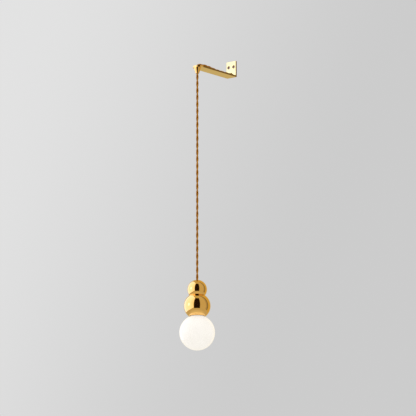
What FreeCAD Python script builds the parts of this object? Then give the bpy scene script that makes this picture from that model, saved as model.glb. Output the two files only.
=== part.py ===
"""A wall light: an L-shaped brass bracket, a twisted flex that runs along its arm and hangs
from its end, and two stacked brass balls that hold an opal globe lamp.

Millimetres, +Z up, +Y into the wall.  The origin is midway between the two screw holes, on the
face of the bracket that lies on the wall.
"""
import FreeCAD, Part
import math
import os
import Sketcher

Vector = FreeCAD.Vector
Rotation = FreeCAD.Rotation

DRIVING_SIZES = {
    # bracket
    "bar_width": 34.0,
    "bar_thickness": 5.0,
    "plate_rise": 16.7,  # screw holes to the top of the plate
    "plate_fall": 31.0,  # screw holes to the underside of the arm
    "arm_reach": 161.0,  # wall to the axis of the hanging flex
    "nose_setback": 7.0,  # centre of the arm's round end, back from that axis
    "fold_outer_radius": 1.5,
    "fold_inner_radius": 1.0,
    "bar_edge_rounding": 0.5,
    "screw_spacing": 18.0,
    "screw_hole_radius": 3.2,
    # flex
    "flex_radius": 3.4,
    "flex_hole_clearance": 0.4,
    "flex_rest_gap": 0.2,
    "flex_arch": 4.0,  # how far the flex lifts off the arm before it turns down
    "flex_lift_run": 85.0,  # how far before the hanging flex it starts to lift
    "flex_peak_run": 38.0,  # how far before the hanging flex it is highest
    "flex_turn_run": 18.0,  # the last run before it turns down
    "flex_bend_radius": 7.2,
    "flex_neck": 20.0,
    "drop": 620.0,  # top of the arm to the top of the upper ball
    "face_gap": 0.3,  # between a piece and one that turns beside it
    "fit_gap": 0.05,  # between a threaded or turned piece and its hole
    # plate bush
    "plate_bush_wall": 0.7,
    # gland
    "cone_height": 17.0,
    "cone_top_radius": 10.0,
    "cone_land": 1.5,
    "cone_mouth_radius": 4.9,
    "cone_mouth_depth": 4.0,
    "nipple_radius": 6.0,
    "nipple_flange_radius": 8.0,
    "nipple_flange_height": 2.0,
    "nipple_seat_depth": 2.0,  # sunk into the arm, so the flex turns down close over it
    "nipple_mouth_rounding": 1.5,
    "nipple_engagement": 6.0,
    "insert_top_radius": 5.0,
    "insert_bottom_radius": 4.4,
    # balls
    "upper_ball_radius": 27.5,
    "lower_ball_radius": 37.5,
    "ball_spacing": 47.0,
    "ball_wall": 1.2,
    "mouth_radius": 24.0,  # the lower ball's open rim
    "globe_clearance": 2.65,  # between that rim and the globe under it
    # what ties the head together
    "tube_radius": 5.0,
    "tube_bore": 4.0,
    "boss_radius": 8.0,
    "boss_collar": 8.0,
    "boss_thread": 8.0,
    "grub_radius": 2.0,
    "grub_socket": 1.0,
    "washer_radius": 10.0,
    "washer_edge": 1.2,
    "nut_flats": 14.0,
    "nut_height": 3.0,
    # lampholder
    "holder_neck_radius": 8.0,
    "holder_shoulder": 4.0,
    "holder_radius": 19.5,
    "holder_cap_skirt": 8.0,
    "holder_body_height": 28.0,
    "holder_thread": 4.0,  # how far the skirt screws up into the dome
    "holder_thread_wall": 1.2,
    "holder_wall": 1.6,
    "holder_lip_radius": 15.2,
    "insert_headroom": 1.3,
    "insert_disc": 4.0,
    "shell_wall": 0.4,
    "terminal_radius": 2.5,
    "terminal_offset": 9.0,
    "terminal_height": 2.2,
    "core_radius": 1.1,
    "contact_strip": 0.5,
    "contact_width": 5.0,
    # lamp
    "globe_radius": 50.0,
    "globe_wall": 1.5,
    "globe_neck_radius": 16.0,
    "cap_radius": 13.2,
    "cap_thread_depth": 0.8,
    "cap_thread_pitch": 3.62,
    "cap_wall": 0.9,
    "cap_skirt": 4.0,
    "cap_clearance": 0.2,
    "insulator_height": 4.2,
    "tip_radius": 4.8,
    "tip_height": 1.6,
    "collar_height": 10.8,
    "collar_wall": 1.6,
    "collar_flange": 2.2,
    "led_plate_thickness": 1.6,
    "led_size": 2.8,
    "led_height": 0.8,
    "led_ring_radius": 9.0,
    "driver_width": 16.0,
    "driver_height": 22.0,
    "driver_board": 1.6,
    "driver_part": 5.0,
}
THREAD_TURNS = 5
LED_COUNT = 8
NUT_SIDES = 6

document = FreeCAD.newDocument("wall_light")
sheet = document.addObject("Spreadsheet::Sheet", "sizes")


class Size:
    """A length in millimetres, together with the spreadsheet formula that gives it."""

    def __init__(self, number, formula):
        self.number = float(number)
        self.formula = formula

    @staticmethod
    def of(value):
        return value if isinstance(value, Size) else Size(value, str(value))

    def _joined(self, other, sign, number):
        return Size(number, "(" + self.formula + " " + sign + " " + other.formula + ")")

    def __add__(self, other):
        other = Size.of(other)
        return self._joined(other, "+", self.number + other.number)

    def __sub__(self, other):
        other = Size.of(other)
        return self._joined(other, "-", self.number - other.number)

    def __mul__(self, other):
        other = Size.of(other)
        return self._joined(other, "*", self.number * other.number)

    def __truediv__(self, other):
        other = Size.of(other)
        return self._joined(other, "/", self.number / other.number)

    def __neg__(self):
        return Size(-self.number, "(0 - " + self.formula + ")")

    def root(self):
        return Size(math.sqrt(self.number), "sqrt(" + self.formula + ")")


def driving_size(row, name, value):
    """Puts one driving size in the sheet and returns it as a Size."""
    cell = "B" + str(row)
    sheet.set("A" + str(row), name)
    sheet.set(cell, str(value))
    sheet.setAlias(cell, name)
    return Size(value, "sizes." + name)


size = {
    name: driving_size(row, name, value)
    for row, (name, value) in enumerate(DRIVING_SIZES.items(), start=1)
}
document.recompute()

ZERO = Size(0, "0")
DOWN_TO_WALL_AXIS = Rotation(Vector(1, 0, 0), 90)  # turns +Z to -Y, out from the wall


def height_on_sphere(radius, offset):
    """How high a sphere stands over its centre, at a distance from its axis."""
    return (radius * radius - offset * offset).root()


# ---- levels along the hanging flex ------------------------------------------------------------
arm_underside = -size["plate_fall"]
arm_top = arm_underside + size["bar_thickness"]
cone_mouth = arm_underside - size["cone_height"]
neck_end = cone_mouth - size["flex_neck"]
head_top = arm_top - size["drop"]
upper_centre = head_top - size["upper_ball_radius"]
lower_centre = upper_centre - size["ball_spacing"]
ball_rim = lower_centre - height_on_sphere(size["lower_ball_radius"], size["mouth_radius"])
globe_top_at_rim = ball_rim - size["globe_clearance"]
globe_centre = globe_top_at_rim - height_on_sphere(size["globe_radius"], size["mouth_radius"])
flex_axis = -size["arm_reach"]
flex_hole = size["flex_radius"] + size["flex_hole_clearance"]


# ---- ways of making a piece -------------------------------------------------------------------
def place(item, x=ZERO, y=ZERO, z=ZERO, rotation=None):
    """Ties an object's place to the sheet."""
    if rotation is not None:
        item.Placement = FreeCAD.Placement(Vector(), rotation)
    item.setExpression("Placement.Base.x", x.formula)
    item.setExpression("Placement.Base.y", y.formula)
    item.setExpression("Placement.Base.z", z.formula)
    return item


def tie(item, **values):
    """Ties an object's own dimensions to the sheet."""
    for name, value in values.items():
        item.setExpression(name, Size.of(value).formula)
    return item


def cylinder(name, radius, height, rotation=None, **at):
    item = tie(document.addObject("Part::Cylinder", name), Radius=radius, Height=height)
    return place(item, rotation=rotation, **at)


def sphere(name, radius, **at):
    return place(tie(document.addObject("Part::Sphere", name), Radius=radius), **at)


def box(name, length, width, height, **at):
    item = document.addObject("Part::Box", name)
    return place(tie(item, Length=length, Width=width, Height=height), **at)


def prism(name, flats, height, rotation=None, **at):
    """A hexagonal bar, given by the distance across its flats."""
    item = document.addObject("Part::Prism", name)
    item.Polygon = NUT_SIDES
    tie(item, Circumradius=flats / 2 / math.cos(math.pi / NUT_SIDES), Height=height)
    return place(item, rotation=rotation, **at)


def cut(name, base, tool):
    item = document.addObject("Part::Cut", name)
    item.Base = base
    item.Tool = tool
    return item


def fuse(name, pieces):
    item = document.addObject("Part::MultiFuse", name)
    item.Shapes = pieces
    return item


def group(name, pieces):
    """Separate solids that share a node."""
    item = document.addObject("Part::Compound", name)
    item.Links = pieces
    return item


def origin_plane(body, role):
    return next(f for f in body.Origin.OriginFeatures if f.Role == role)


def new_sketch(body, name, role, offset=None):
    """A sketch on one of a body's own origin planes."""
    sketch = body.newObject("Sketcher::SketchObject", name)
    sketch.AttachmentSupport = [(origin_plane(body, role), "")]
    sketch.MapMode = "FlatFace"
    if offset is not None:
        sketch.setExpression("AttachmentOffset.Base.z", offset.formula)
    return sketch


def fix_point(sketch, edge, end, across, up):
    """Ties one end of an edge to distances from the sketch's origin."""
    for kind, axis, value in (("DistanceX", -2, across), ("DistanceY", -1, up)):
        if value.formula == ZERO.formula:
            sketch.addConstraint(Sketcher.Constraint("PointOnObject", edge, end, axis))
            continue
        dimension = Sketcher.Constraint(kind, -1, 1, edge, end, value.number)
        index = sketch.addConstraint(dimension)
        label = kind.lower() + "_" + str(edge) + "_" + str(end)
        sketch.renameConstraint(index, label)
        sketch.setExpression("Constraints." + label, value.formula)


def polygon(sketch, corners):
    """A closed outline of straight edges through corners given as (across, up)."""
    count = len(corners)
    flat = [Vector(across.number, up.number, 0) for across, up in corners]
    for i in range(count):
        sketch.addGeometry(Part.LineSegment(flat[i], flat[(i + 1) % count]), False)
    for i in range(count):
        sketch.addConstraint(Sketcher.Constraint("Coincident", i, 2, (i + 1) % count, 1))
    for i, (across, up) in enumerate(corners):
        fix_point(sketch, i, 1, across, up)


def circle(sketch, radius, across, up):
    index = sketch.addGeometry(
        Part.Circle(Vector(across.number, up.number, 0), Vector(0, 0, 1), radius.number), False
    )
    fix_point(sketch, index, 3, across, up)
    dimension = sketch.addConstraint(Sketcher.Constraint("Radius", index, radius.number))
    sketch.renameConstraint(dimension, "radius_" + str(index))
    sketch.setExpression("Constraints.radius_" + str(index), radius.formula)


def turned(name, profile, z, y=None):
    """A piece turned on a lathe: its profile, as (radius, height) corners, goes round Z.

    Heights are measured up from z, the piece's lowest level.
    """
    body = document.addObject("PartDesign::Body", name)
    sketch = new_sketch(body, name + "_profile", "XZ_Plane")
    polygon(sketch, [(Size.of(radius), Size.of(height)) for radius, height in profile])
    revolution = body.newObject("PartDesign::Revolution", name + "_turning")
    revolution.Profile = sketch
    revolution.ReferenceAxis = (sketch, ["V_Axis"])
    revolution.Angle = 360
    body.Tip = revolution
    return place(body, y=flex_axis if y is None else y, z=z)


def along_flex(z):
    """The place of a piece that is centred on the hanging flex."""
    return {"y": flex_axis, "z": z}


nodes = []


def node(name, item):
    """Names a finished sub-part: its Label is the name of its file."""
    item.Label = name
    nodes.append(item)
    return item


# ---- bracket ----------------------------------------------------------------------------------
flex_hole_height = arm_top + flex_hole + size["plate_bush_wall"] + size["flex_rest_gap"]
plate_hole_radius = flex_hole + size["plate_bush_wall"] + size["fit_gap"]
gland_hole_radius = size["nipple_radius"] + size["fit_gap"]


def arm_outline(sketch):
    """A straight-sided bar with a half-round end, seen from above."""
    half = size["bar_width"] / 2
    back = flex_axis + size["nose_setback"]
    tip = back - half
    corners = [(-half, back), (-half, ZERO), (half, ZERO), (half, back)]
    flat = [Vector(across.number, up.number, 0) for across, up in corners]
    for i in range(3):
        sketch.addGeometry(Part.LineSegment(flat[i], flat[i + 1]), False)
    nose = Part.Arc(flat[3], Vector(0, tip.number, 0), flat[0])
    sketch.addGeometry(nose, False)
    for i in range(2):
        sketch.addConstraint(Sketcher.Constraint("Coincident", i, 2, i + 1, 1))
    # the arc runs from the left edge to the right one, anticlockwise round its centre
    sketch.addConstraint(Sketcher.Constraint("Coincident", 3, 1, 0, 1))
    sketch.addConstraint(Sketcher.Constraint("Coincident", 3, 2, 2, 2))
    for edge, end, (across, up) in ((0, 1, corners[0]), (0, 2, corners[1]), (1, 2, corners[2])):
        fix_point(sketch, edge, end, across, up)
    fix_point(sketch, 2, 2, *corners[3])
    centre = sketch.addConstraint(Sketcher.Constraint("DistanceY", -1, 1, 3, 3, back.number))
    sketch.renameConstraint(centre, "nose_centre")
    sketch.setExpression("Constraints.nose_centre", back.formula)


def pad(body, name, sketch, length, reverse):
    feature = body.newObject("PartDesign::Pad", name)
    feature.Profile = sketch
    feature.Reversed = reverse
    feature.setExpression("Length", length.formula)
    body.Tip = feature
    return feature


def pocket_through(body, name, sketch):
    """Cuts a sketch's circles through the body, both ways from the sketch."""
    feature = body.newObject("PartDesign::Pocket", name)
    feature.Profile = sketch
    feature.Type = "ThroughAll"
    feature.SideType = "Symmetric"
    body.Tip = feature
    return feature


def pocket_to_depth(body, name, sketch, depth):
    """Sinks a sketch's circles straight down into the body."""
    feature = body.newObject("PartDesign::Pocket", name)
    feature.Profile = sketch
    feature.setExpression("Length", depth.formula)
    body.Tip = feature
    return feature


def edges_where(shape, wanted):
    """The names of a shape's edges that pass a test."""
    return ["Edge" + str(i) for i, edge in enumerate(shape.Edges, start=1) if wanted(edge)]


def runs_along_x(edge, y, z):
    """Whether an edge is straight, along X, and at a given place."""
    ends = [vertex.Point for vertex in edge.Vertexes]
    level = all(abs(p.y - y) < 0.01 and abs(p.z - z) < 0.01 for p in ends)
    return level and len(ends) == 2 and abs(ends[0].x - ends[1].x) > 1


def on_bar_outline(edge):
    """Whether an edge bounds the bar, rather than one of its holes or its fold."""
    middle = edge.valueAt((edge.FirstParameter + edge.LastParameter) / 2)
    half = size["bar_width"].number / 2
    side = all(abs(abs(vertex.X) - half) < 0.01 for vertex in edge.Vertexes)
    past_centre = middle.y < (flex_axis + size["nose_setback"]).number - 1
    nose = past_centre and edge.Length > half and not edge.isClosed()
    top = abs(middle.z - size["plate_rise"].number) < 0.01
    in_fold = abs(middle.y) < 2 * size["bar_thickness"].number and edge.Length < 3
    return (side or nose or top) and not in_fold


def wall_bracket():
    """Flat brass bar, folded once: the plate on the wall and the arm under the flex."""
    body = document.addObject("PartDesign::Body", "wall_bracket")
    half = size["bar_width"] / 2
    arm = new_sketch(body, "arm_outline", "XY_Plane", offset=arm_underside)
    arm_outline(arm)
    pad(body, "arm", arm, size["bar_thickness"], reverse=False)
    plate = new_sketch(body, "plate_outline", "XZ_Plane")
    top = size["plate_rise"]
    polygon(plate, [(-half, arm_underside), (half, arm_underside), (half, top), (-half, top)])
    pad(body, "plate", plate, size["bar_thickness"], reverse=False)
    plate_holes = new_sketch(body, "plate_hole_centres", "XZ_Plane")
    for side in (-1, 1):
        circle(plate_holes, size["screw_hole_radius"], size["screw_spacing"] / 2 * side, ZERO)
    circle(plate_holes, plate_hole_radius, ZERO, flex_hole_height)
    pocket_through(body, "plate_holes", plate_holes)
    gland_hole = new_sketch(body, "gland_hole_centre", "XY_Plane")
    circle(gland_hole, gland_hole_radius, ZERO, flex_axis)
    last = pocket_through(body, "gland_hole", gland_hole)
    seat = new_sketch(body, "nipple_seat_centre", "XY_Plane", offset=arm_top)
    circle(seat, size["nipple_flange_radius"] + size["fit_gap"], ZERO, flex_axis)
    last = pocket_to_depth(body, "nipple_seat", seat, size["nipple_seat_depth"])
    document.recompute()
    folds = (
        ("outer_fold", size["fold_outer_radius"], ZERO, arm_underside),
        ("inner_fold", size["fold_inner_radius"], -size["bar_thickness"], arm_top),
    )
    for name, radius, y, z in folds:
        names = edges_where(last.Shape, lambda edge: runs_along_x(edge, y.number, z.number))
        fillet = body.newObject("PartDesign::Fillet", name)
        fillet.Base = (last, names)
        fillet.setExpression("Radius", radius.formula)
        body.Tip = fillet
        document.recompute()
        last = fillet
    rounding = body.newObject("PartDesign::Fillet", "bar_edges")
    rounding.Base = (last, edges_where(last.Shape, on_bar_outline))
    rounding.setExpression("Radius", size["bar_edge_rounding"].formula)
    body.Tip = rounding
    return node("wall_bracket", body)


def plate_bush():
    """Thin sleeve that lines the hole where the flex comes out of the wall."""
    length = size["bar_thickness"]
    at = {"z": flex_hole_height, "rotation": DOWN_TO_WALL_AXIS}
    outside = cylinder("plate_bush_outside", flex_hole + size["plate_bush_wall"], length, **at)
    bore = cylinder("plate_bush_bore", flex_hole, length, **at)
    return node("plate_bush", cut("plate_bush", outside, bore))


# ---- gland ------------------------------------------------------------------------------------
nipple_end_depth = size["nipple_engagement"]
insert_top_depth = nipple_end_depth + size["fit_gap"]
insert_bottom_depth = size["cone_height"] - size["cone_mouth_depth"] - size["fit_gap"]


def cone_wall_radius(depth):
    """The radius of the cone's outside at a depth under the arm."""
    narrowing = size["cone_top_radius"] - size["cone_mouth_radius"]
    tapered = size["cone_height"] - size["cone_land"]
    return size["cone_top_radius"] - narrowing * (depth - size["cone_land"]) / tapered


def gland_nipple():
    """Flanged hollow nipple: its flange is sunk in the arm, its thread carries the cone."""
    shank_top = nipple_end_depth + size["bar_thickness"] - size["nipple_seat_depth"]
    length = shank_top + size["nipple_flange_height"]
    mouth = flex_hole + size["nipple_mouth_rounding"]
    profile = [
        (flex_hole, ZERO),
        (size["nipple_radius"], ZERO),
        (size["nipple_radius"], shank_top),
        (size["nipple_flange_radius"], shank_top),
        (size["nipple_flange_radius"], length),
        (mouth, length),
        (flex_hole + size["nipple_mouth_rounding"] / 3, length - size["nipple_mouth_rounding"]),
        (flex_hole, length - size["nipple_mouth_rounding"] * 2),
    ]
    return node("gland_nipple", turned("gland_nipple", profile, arm_underside - nipple_end_depth))


def gland_cone():
    """Tapered brass cone under the arm's end, screwed on the nipple."""
    total = size["cone_height"]
    thread = size["nipple_radius"] + size["fit_gap"]
    seat = size["insert_bottom_radius"] + size["fit_gap"]
    cavity_top = total - insert_top_depth
    profile = [
        (flex_hole, ZERO),
        (size["cone_mouth_radius"], ZERO),
        (size["cone_top_radius"], total - size["cone_land"]),
        (size["cone_top_radius"], total),
        (thread, total),
        (thread, cavity_top),
        (size["insert_top_radius"] + size["fit_gap"], cavity_top),
        (seat, size["cone_mouth_depth"]),
        (flex_hole, size["cone_mouth_depth"]),
    ]
    return node("gland_cone", turned("gland_cone", profile, cone_mouth))


def gland_insert():
    """Silicone wedge that the nipple presses round the flex."""
    height = insert_bottom_depth - insert_top_depth
    bore = size["flex_radius"] + size["fit_gap"]
    profile = [
        (bore, ZERO),
        (size["insert_bottom_radius"], ZERO),
        (size["insert_top_radius"], height),
        (bore, height),
    ]
    bottom = arm_underside - insert_bottom_depth
    return node("gland_insert", turned("gland_insert", profile, bottom))


# ---- flex -------------------------------------------------------------------------------------
def arm_route():
    """Corners of the flex's path from the wall to the gland.

    It comes out through the plate, sinks to the arm, lies on it, arches up, and sinks again to
    the arm's end, where it turns down through the nipple.
    """
    end = flex_axis.number
    resting = (arm_top + size["flex_radius"] + size["flex_rest_gap"]).number
    arch = size["flex_arch"].number
    lift_start = end + size["flex_lift_run"].number
    peak = end + size["flex_peak_run"].number
    turn_start = end + size["flex_turn_run"].number
    corner = resting - size["face_gap"].number / 3
    stub_end = (cone_mouth + size["flex_radius"] + size["face_gap"]).number
    return [
        Vector(0, 0, flex_hole_height.number),
        Vector(0, lift_start * 0.4, resting),
        Vector(0, lift_start, resting),
        Vector(0, (lift_start + peak) / 2, resting + 0.55 * arch),
        Vector(0, peak, resting + arch),
        Vector(0, turn_start, resting + 0.55 * arch),
        Vector(0, end, corner),
        Vector(0, end - 0.05, corner + 0.63 * (stub_end - corner)),
        Vector(0, end, stub_end),
    ]


def bend_radius(before, corner, after):
    """An arc as large as its runs allow, but the nipple's own radius where it turns down."""
    turn = (corner - before).getAngle(after - corner)
    shorter = min((corner - before).Length, (after - corner).Length)
    widest = 0.45 * shorter / math.tan(turn / 2)
    if turn > math.radians(45):
        return min(widest, size["flex_bend_radius"].number), turn
    return widest, turn


def path_through(points):
    """Straight runs joined by tangent arcs, as one wire."""
    edges = []
    start = points[0]
    for before, corner, after in zip(points, points[1:], points[2:]):
        radius, turn = bend_radius(before, corner, after)
        tangent = radius * math.tan(turn / 2)
        into = (corner - before).normalize()
        out = (after - corner).normalize()
        first = corner - into * tangent
        last = corner + out * tangent
        inward = (out - into).normalize()
        middle = corner + inward * (radius / math.cos(turn / 2) - radius)
        edges.append(Part.LineSegment(start, first).toShape())
        edges.append(Part.Arc(first, middle, last).toShape())
        start = last
        print("flex bend radius", round(radius, 1), "turn", round(math.degrees(turn), 1))
    edges.append(Part.LineSegment(start, points[-1]).toShape())
    return Part.Wire(edges)


def swept_tube(path, radius):
    """A round rod along a path, checked against its section times its length."""
    first = path.Edges[0]
    direction = first.tangentAt(first.FirstParameter)
    ring = Part.Wire(Part.Circle(path.Vertexes[0].Point, direction, radius).toShape())
    rod = path.makePipeShell([ring], True, False)
    expected = math.pi * radius * radius * path.Length
    if abs(rod.Volume / expected - 1) > 0.01:
        raise RuntimeError("the swept rod has the wrong volume")
    return rod


def cord_on_arm():
    """The flex from the wall, along the arm and down into the gland."""
    item = document.addObject("Part::Feature", "cord_on_arm")
    path = path_through(arm_route())
    item.Shape = swept_tube(path, size["flex_radius"].number)
    print("flex on the arm", round(path.Length, 1), "mm long")
    return node("cord_on_arm", item)


def hanging_flex(name, top, bottom):
    """A straight stretch with a round top, which stays in place as the stretch swings."""
    end = sphere(name + "_top", size["flex_radius"], **along_flex(top))
    rod = cylinder(name + "_rod", size["flex_radius"], top - bottom, **along_flex(bottom))
    return node(name, fuse(name, [end, rod]))


def cord_neck():
    """The first stretch under the gland, which bends as the light swings sideways."""
    return hanging_flex("cord_neck", cone_mouth, neck_end + size["flex_radius"] + size["face_gap"])


def cord_drop():
    """The long hanging stretch, down to the upper ball."""
    return hanging_flex("cord_drop", neck_end, head_top)


# ---- balls ------------------------------------------------------------------------------------
upper_inside = size["upper_ball_radius"] - size["ball_wall"]
lower_inside = size["lower_ball_radius"] - size["ball_wall"]
lower_hole = size["tube_radius"] + size["fit_gap"] * 2


def hollow_ball(name, centre, outside, inside):
    shell = sphere(name + "_outside", outside, **along_flex(centre))
    return cut(name + "_hollow", shell, sphere(name + "_inside", inside, **along_flex(centre)))


def upper_ball():
    """Small spun brass ball, open below where it sits on the larger one."""
    ball = hollow_ball("upper_ball", upper_centre, size["upper_ball_radius"], upper_inside)
    hole = cylinder(
        "upper_ball_hole", flex_hole, size["upper_ball_radius"], **along_flex(upper_centre)
    )
    seat = sphere(
        "upper_ball_seat", size["lower_ball_radius"] + size["fit_gap"], **along_flex(lower_centre)
    )
    return node("upper_ball", cut("upper_ball", cut("upper_ball_drilled", ball, hole), seat))


def lower_ball():
    """Large spun brass ball: a small hole at the top, and the lamp's opening below."""
    ball = hollow_ball("lower_ball", lower_centre, size["lower_ball_radius"], lower_inside)
    hole = cylinder(
        "lower_ball_hole", lower_hole, size["lower_ball_radius"], **along_flex(lower_centre)
    )
    drilled = cut("lower_ball_drilled", ball, hole)
    opening_radius = size["lower_ball_radius"]
    opening = cylinder(
        "lower_ball_opening",
        opening_radius,
        opening_radius,
        **along_flex(ball_rim - opening_radius),
    )
    return node("lower_ball", cut("lower_ball", drilled, opening))


# ---- levels inside the head, from the globe up -------------------------------------------------
collar_bottom = globe_centre + height_on_sphere(
    size["globe_radius"], size["globe_neck_radius"] + size["collar_flange"]
)
cap_bottom = collar_bottom + size["collar_height"]
cap_length = size["cap_thread_pitch"] * THREAD_TURNS + size["cap_skirt"]
cap_top = cap_bottom + cap_length
lamp_top = cap_top + size["insulator_height"] + size["tip_height"]
insert_bottom = lamp_top + size["contact_strip"] + size["fit_gap"]
insert_top = insert_bottom + size["insert_disc"]
shoulder_bottom = insert_top + size["insert_headroom"] + size["holder_wall"]
shoulder_top = shoulder_bottom + size["holder_shoulder"]
cap_skirt_bottom = shoulder_bottom - size["holder_cap_skirt"]
holder_bottom = cap_skirt_bottom - size["holder_body_height"]
insert_foot = holder_bottom + size["holder_wall"]
tube_bottom = shoulder_top


# ---- what ties the head together --------------------------------------------------------------
boss_top = upper_centre + height_on_sphere(upper_inside - size["fit_gap"], flex_hole)
boss_edge = upper_centre + height_on_sphere(upper_inside - size["fit_gap"], size["boss_radius"])
tube_top = boss_edge - size["boss_collar"]
boss_bottom = tube_top - size["boss_thread"]
washer_bottom = (
    lower_centre + height_on_sphere(lower_inside, size["washer_radius"]) - size["washer_edge"]
)
nut_bottom = washer_bottom - size["nut_height"]
grub_height = boss_edge - size["boss_collar"] / 2


def cord_boss():
    """Turned boss, soldered in the top of the upper ball: it grips the flex and the tube."""
    thread = size["tube_radius"] + size["fit_gap"]
    collar = tube_top - boss_bottom
    profile = [
        (thread, ZERO),
        (size["boss_radius"], ZERO),
        (size["boss_radius"], boss_edge - boss_bottom),
        (flex_hole, boss_top - boss_bottom),
        (flex_hole, collar),
        (thread, collar),
    ]
    blank = turned("cord_boss_blank", profile, boss_bottom)
    across = Rotation(Vector(0, 1, 0), 90)
    holes = cylinder(
        "cord_boss_grub_holes",
        size["grub_radius"] + size["fit_gap"],
        size["boss_radius"] * 2,
        rotation=across,
        x=-size["boss_radius"],
        **along_flex(grub_height),
    )
    return node("cord_boss", cut("cord_boss", blank, holes))


def cord_grub_screws():
    """Two grub screws that hold the flex in the boss."""
    length = size["boss_radius"] - flex_hole
    screws = []
    for side, sign in (("left", -1), ("right", 1)):
        across = Rotation(Vector(0, 1, 0), 90 * sign)
        screw = cylinder(
            "grub_" + side,
            size["grub_radius"],
            length,
            rotation=across,
            x=flex_hole * sign,
            **along_flex(grub_height),
        )
        socket = prism(
            "grub_socket_" + side,
            size["grub_socket"] * 2,
            length / 2,
            rotation=across,
            x=(flex_hole + length / 2) * sign,
            **along_flex(grub_height),
        )
        screws.append(cut("grub_screw_" + side, screw, socket))
    return node("cord_grub_screws", group("cord_grub_screws", screws))


def cord_in_head():
    """The end of the flex, inside the boss and the tube."""
    rod = cylinder(
        "cord_in_head", size["flex_radius"], head_top - tube_bottom, **along_flex(tube_bottom)
    )
    return node("cord_in_head", rod)


def threaded_tube():
    """Hollow tube from the boss, through the top of the lower ball, to the lampholder."""
    profile = [
        (size["tube_bore"], ZERO),
        (size["tube_radius"], ZERO),
        (size["tube_radius"], tube_top - tube_bottom),
        (size["tube_bore"], tube_top - tube_bottom),
    ]
    return node("threaded_tube", turned("threaded_tube", profile, tube_bottom))


def tube_washer():
    """Washer with a domed top that fits the inside of the lower ball."""
    height = lower_centre + lower_inside - washer_bottom
    disc = cylinder("tube_washer_disc", size["washer_radius"], height, **along_flex(washer_bottom))
    hole = cylinder("tube_washer_hole", lower_hole, height, **along_flex(washer_bottom))
    dome = sphere("tube_washer_dome", lower_inside - size["fit_gap"], **along_flex(lower_centre))
    item = document.addObject("Part::Common", "tube_washer")
    item.Base = cut("tube_washer_ring", disc, hole)
    item.Tool = dome
    return node("tube_washer", item)


def tube_nut():
    """Hexagon nut that pulls the lower ball up against the upper one."""
    blank = prism("tube_nut_blank", size["nut_flats"], size["nut_height"], **along_flex(nut_bottom))
    bore = cylinder(
        "tube_nut_bore",
        size["tube_radius"] + size["fit_gap"],
        size["nut_height"],
        **along_flex(nut_bottom),
    )
    return node("tube_nut", cut("tube_nut", blank, bore))


# ---- lampholder -------------------------------------------------------------------------------
holder_inside = size["holder_radius"] - size["holder_wall"]
insert_radius = holder_inside - size["holder_thread_wall"] - size["fit_gap"] * 2
shell_inside = size["cap_radius"] + size["cap_clearance"]
shell_outside = shell_inside + size["shell_wall"]


def holder_cap():
    """Dome of the lampholder, screwed on the tube up to the nut."""
    thread = size["tube_radius"] + size["fit_gap"]
    skirt = size["holder_cap_skirt"]
    shoulder = skirt + size["holder_shoulder"]
    neck_top = nut_bottom - cap_skirt_bottom
    profile = [
        (holder_inside, ZERO),
        (size["holder_radius"], ZERO),
        (size["holder_radius"], skirt),
        (size["holder_neck_radius"], shoulder),
        (size["holder_neck_radius"], neck_top),
        (thread, neck_top),
        (thread, shoulder),
        (size["holder_neck_radius"], shoulder - size["holder_wall"]),
        (holder_inside, skirt - size["holder_wall"]),
    ]
    return node("holder_cap", turned("holder_cap", profile, cap_skirt_bottom))


def holder_body():
    """Skirt of the lampholder, which screws into the dome and holds the insert up in it."""
    height = size["holder_body_height"]
    thread = holder_inside - size["fit_gap"]
    throat = insert_radius + size["fit_gap"]
    profile = [
        (size["holder_lip_radius"], ZERO),
        (size["holder_radius"], ZERO),
        (size["holder_radius"], height),
        (thread, height),
        (thread, height + size["holder_thread"]),
        (throat, height + size["holder_thread"]),
        (throat, height - size["holder_wall"]),
        (holder_inside, height - size["holder_wall"] * 2),
        (holder_inside, size["holder_wall"]),
        (size["holder_lip_radius"], size["holder_wall"]),
    ]
    return node("holder_body", turned("holder_body", profile, holder_bottom))


def terminal_post(name, side, radius, bottom, height):
    """A round post at one of the two terminals, left (-1) or right (1)."""
    end = "_left" if side < 0 else "_right"
    offset = size["terminal_offset"] * side
    return cylinder(name + end, radius, height, x=offset, **along_flex(bottom))


def holder_insert():
    """Ceramic insert: a disc for the contacts, and a ring wall round the screw shell."""
    bore = shell_outside + size["fit_gap"]
    skirt = insert_bottom - insert_foot
    profile = [
        (bore, ZERO),
        (insert_radius, ZERO),
        (insert_radius, skirt + size["insert_disc"]),
        (ZERO, skirt + size["insert_disc"]),
        (ZERO, skirt),
        (bore, skirt),
    ]
    blank = turned("holder_insert_blank", profile, insert_foot)
    radius = size["terminal_radius"] / 2 + size["fit_gap"]
    holes = [
        terminal_post("insert_hole", side, radius, insert_bottom, size["insert_disc"])
        for side in (-1, 1)
    ]
    return node("holder_insert", cut("holder_insert", blank, fuse("insert_holes", holes)))


def contact_strip(name, start, length):
    """A flat brass strip under the insert's disc."""
    return box(
        name,
        length,
        size["contact_width"],
        size["contact_strip"],
        x=start,
        y=flex_axis - size["contact_width"] / 2,
        z=insert_bottom - size["contact_strip"],
    )


def holder_shell():
    """Thin brass shell in the insert, where the lamp's cap turns, with a tab to a terminal."""
    height = insert_bottom - insert_foot
    profile = [
        (shell_inside, ZERO),
        (shell_outside, ZERO),
        (shell_outside, height),
        (shell_inside, height),
    ]
    shell = turned("holder_shell_wall", profile, insert_foot)
    tab_start = -shell_inside - size["shell_wall"] / 2
    tab_end = size["contact_width"] / 2 - size["terminal_offset"]
    tab = contact_strip("holder_shell_tab", tab_start, tab_end - tab_start)
    return node("holder_shell", fuse("holder_shell", [shell, tab]))


def holder_centre_contact():
    """Sprung brass strip under the disc, which presses on the lamp's tip."""
    half = size["contact_width"] / 2
    strip = contact_strip("holder_centre_contact", -half, size["terminal_offset"] + half * 2)
    return node("holder_centre_contact", strip)


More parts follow.
